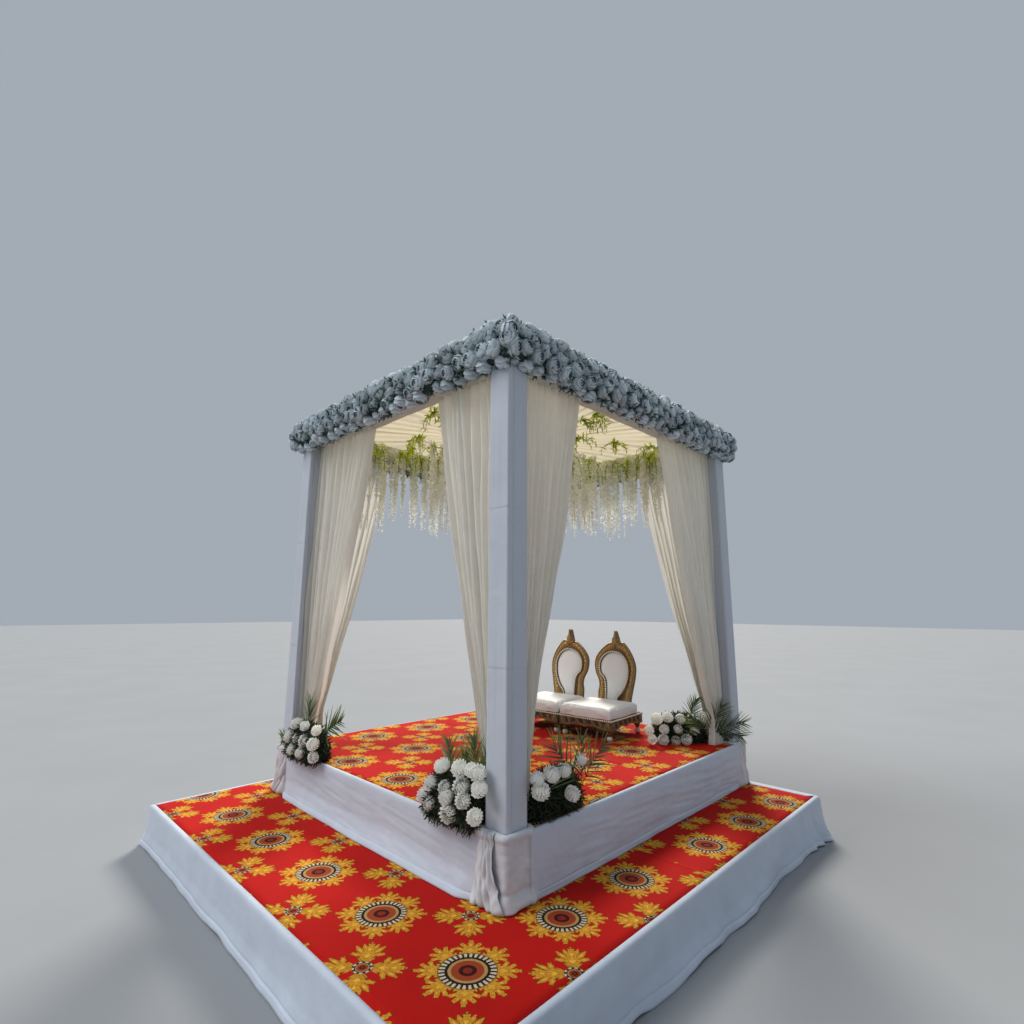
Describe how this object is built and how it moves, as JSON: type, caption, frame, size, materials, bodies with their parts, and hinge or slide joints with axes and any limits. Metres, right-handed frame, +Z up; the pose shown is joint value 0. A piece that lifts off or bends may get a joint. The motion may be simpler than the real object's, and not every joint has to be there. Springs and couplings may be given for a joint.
{
  "type": "wedding mandap",
  "caption": "Square canopy on cloth-wrapped columns over stepped carpeted decks, with gathered sheer curtains, flower garlands, bouquets and low wedding seats.",
  "frame": {"origin": "on the ground under the lower deck, midway between the four columns", "axes": "+Z up, -Y towards the front side that the seats face, +X towards the right side, along which the lower deck reaches further out"},
  "size_m": [3.3027, 3.6155, 3.2049],
  "materials": {
    "deck_board": "bare plywood",
    "carpet": "printed needle-felt carpet, red with ochre medallions",
    "skirt_cloth": "white polyester cloth, cool in the shade",
    "column_cloth": "white stretch cloth pulled tight",
    "wrap_cloth": "white cloth, bunched and tied",
    "beam_cloth": "cream cloth pulled over the beams",
    "ceiling_cloth": "cream satin, pleated",
    "curtain_sheer": "ivory sheer georgette",
    "garland_flowers": "artificial silk flower heads, blue-white",
    "garland_leaves": "artificial leaves, dark green",
    "bouquet_flowers": "white chrysanthemum heads",
    "bouquet_leaves": "palm leaves, deep green",
    "hanging_flowers": "artificial wisteria, white",
    "hanging_leaves": "artificial leaves, yellow-green",
    "gilt_wood": "carved wood, old gold paint",
    "white_leather": "white leatherette"
  },
  "bodies": {
    "root": {"lower_deck": "deck_board", "lower_carpet": "carpet", "lower_skirt_front": "skirt_cloth", "lower_skirt_right": "skirt_cloth", "lower_skirt_back": "skirt_cloth", "lower_skirt_left": "skirt_cloth", "upper_deck": "deck_board", "upper_carpet": "carpet", "upper_skirt_front": "skirt_cloth", "upper_skirt_right": "skirt_cloth", "upper_skirt_back": "skirt_cloth", "upper_skirt_left": "skirt_cloth", "base_wrap_front_left": "wrap_cloth", "base_wrap_front_right": "wrap_cloth", "base_wrap_back_right": "wrap_cloth", "base_wrap_back_left": "wrap_cloth", "column_front_left": "column_cloth", "column_front_right": "column_cloth", "column_back_right": "column_cloth", "column_back_left": "column_cloth", "beam_front": "beam_cloth", "beam_right": "beam_cloth", "beam_back": "beam_cloth", "beam_left": "beam_cloth", "ceiling_cloth": "ceiling_cloth", "garland_front": "garland_flowers", "garland_right": "garland_flowers", "garland_back": "garland_flowers", "garland_left": "garland_flowers", "curtain_front_left": "curtain_sheer", "curtain_front_right": "curtain_sheer", "curtain_right_front": "curtain_sheer", "curtain_right_back": "curtain_sheer", "curtain_back_right": "curtain_sheer", "curtain_back_left": "curtain_sheer", "curtain_left_back": "curtain_sheer", "curtain_left_front": "curtain_sheer", "flower_row_left": "hanging_flowers", "flower_row_back": "hanging_flowers", "flower_row_middle_left": "hanging_flowers", "flower_row_middle_right": "hanging_flowers", "bouquet_front_left": "bouquet_flowers", "bouquet_front_right": "bouquet_flowers", "bouquet_right_front": "bouquet_flowers", "bouquet_back_right": "bouquet_flowers", "bouquet_back_left": "bouquet_flowers", "seat_frame_left": "gilt_wood", "seat_cushion_left": "white_leather", "seat_back_pad_left": "white_leather", "seat_frame_right": "gilt_wood", "seat_cushion_right": "white_leather", "seat_back_pad_right": "white_leather"}
  },
  "joints": []
}
